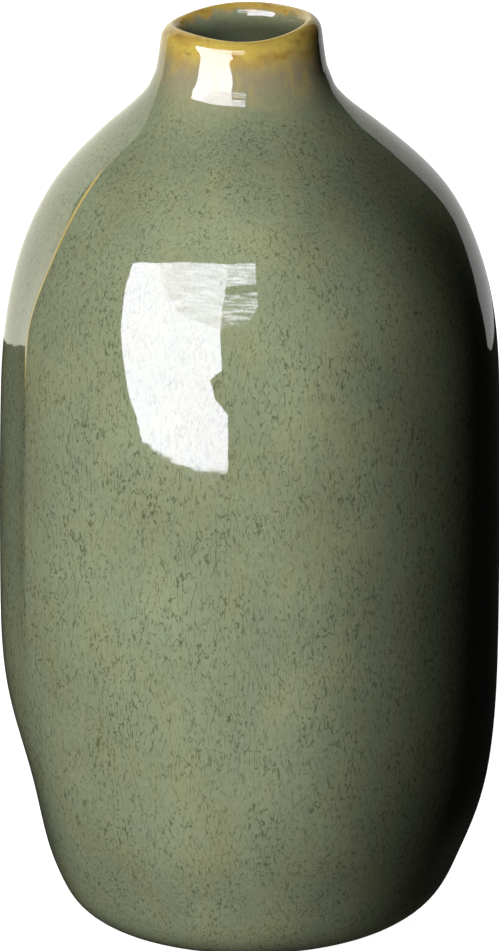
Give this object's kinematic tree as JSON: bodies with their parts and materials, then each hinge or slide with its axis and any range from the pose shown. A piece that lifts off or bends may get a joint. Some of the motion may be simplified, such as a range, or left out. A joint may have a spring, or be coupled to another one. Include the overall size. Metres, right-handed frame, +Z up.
{
  "type": "vase",
  "caption": "Tall bottle-shaped stoneware vase with a short neck, soft shoulders, gently uneven walls, green glaze, an amber lip and a bare foot ring.",
  "frame": {"origin": "centre of the foot ring's resting face", "axes": "+Z up out of the mouth, -Y the front, -X the side with the soft upright ridge and the neck's slight lean"},
  "size_m": [0.1252, 0.1254, 0.2342],
  "materials": {
    "bare_clay": "unglazed fired stoneware, dry and matt, with fine grog",
    "green_glaze": "glossy sage to olive green, mottled, with fine dark upright flecks",
    "inner_green_glaze": "glossy dark olive green",
    "amber_glaze": "glossy translucent amber breaking to dark brown"
  },
  "bodies": {
    "root": {"foot_ring": "bare_clay", "clay_body": "bare_clay", "clay_neck": "bare_clay", "outer_glaze": "green_glaze", "inner_glaze": "inner_green_glaze", "lip_glaze": "amber_glaze"}
  },
  "joints": []
}
